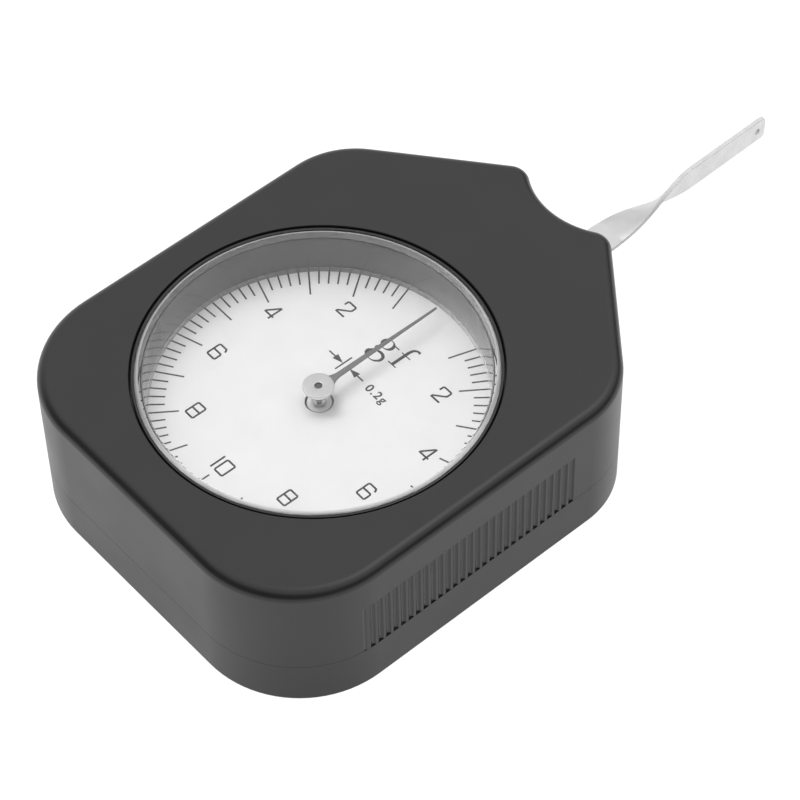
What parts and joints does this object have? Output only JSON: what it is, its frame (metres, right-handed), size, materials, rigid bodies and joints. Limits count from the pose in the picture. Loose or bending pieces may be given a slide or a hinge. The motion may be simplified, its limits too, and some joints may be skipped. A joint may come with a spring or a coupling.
{
  "type": "dial tension gauge",
  "caption": "Hand-held dial tension gauge: black moulded case with a round zero-centred dial under a clear crystal and a thin twisted measuring lever out of its notched end.",
  "frame": {"origin": "the pointer's axis on the flat back of the case", "axes": "+Z out of the dial, +Y towards the measuring lever, +X to the dial's right"},
  "size_m": [0.062, 0.1191, 0.024],
  "materials": {
    "case_plastic": "black moulded plastic, satin top and grooved sides",
    "ring_plastic": "black moulded plastic, smooth",
    "crystal_clear": "clear polished acrylic",
    "dial_metal": "pale matt silvered dial with dark grey print",
    "pointer_paint": "grey satin paint",
    "cap_metal": "turned, satin",
    "lever_metal": "rolled strip, fine grain along the blade, bright sheared edges",
    "spring_steel": "tempered strip",
    "screw_steel": "turned, lightly polished",
    "movement_brass": "stamped or turned brass"
  },
  "bodies": {
    "case": {"front_housing": "case_plastic", "back_cover": "case_plastic", "case_screw_1": "screw_steel", "case_screw_2": "screw_steel", "case_screw_3": "screw_steel", "case_screw_4": "screw_steel", "wave_washer": "spring_steel", "main_plate": "movement_brass", "bridge_plate": "movement_brass", "pillar_1": "movement_brass", "pillar_2": "movement_brass", "pillar_3": "movement_brass", "bridge_screw_1": "screw_steel", "bridge_screw_2": "screw_steel", "bridge_screw_3": "screw_steel", "plate_screw_1": "screw_steel", "plate_screw_2": "screw_steel", "plate_screw_3": "screw_steel", "plate_screw_4": "screw_steel", "stop_pin_1": "screw_steel", "stop_pin_2": "screw_steel", "pointer_bush_rear": "movement_brass", "lever_bush_rear": "movement_brass", "pointer_bush_front": "movement_brass", "lever_bush_front": "movement_brass", "spring_stud": "movement_brass", "hairspring_stud": "movement_brass"},
    "dial": {"zero_ring": "ring_plastic", "crystal": "crystal_clear", "dial_plate": "dial_metal"},
    "pointer": {"pointer_arbor": "screw_steel", "pointer": "pointer_paint", "pointer_collar": "screw_steel", "pointer_cap": "cap_metal", "hairspring_collet": "movement_brass", "hairspring": "spring_steel"},
    "lever": {"measuring_lever": "lever_metal", "sector_gear": "movement_brass", "lever_hub": "movement_brass", "lever_arbor": "screw_steel", "lever_rivet_1": "screw_steel", "lever_rivet_2": "screw_steel", "spring_collet": "movement_brass", "measuring_spring": "spring_steel"}
  },
  "joints": [
    {"name": "lever_swing", "type": "hinge", "parent": "case", "child": "lever", "pos_m": [0, 0.026, 0.0095], "axis": [0, 0, 1], "range_deg": [-10, 10], "stiffness_Nm_per_rad": 0.034, "deforming": ["measuring_spring"]},
    {"name": "pointer_turn", "type": "hinge", "parent": "case", "child": "pointer", "pos_m": [0, 0, 0.01], "axis": [0, 0, 1], "range_deg": [-180, 180], "deforming": ["hairspring"]},
    {"name": "dial_turn", "type": "hinge", "parent": "case", "child": "dial", "pos_m": [0, 0, 0.01585], "axis": [0, 0, 1], "continuous": true}
  ],
  "couplings": [
    {"joint": "pointer_turn", "follows": "lever_swing", "ratio": -18}
  ]
}
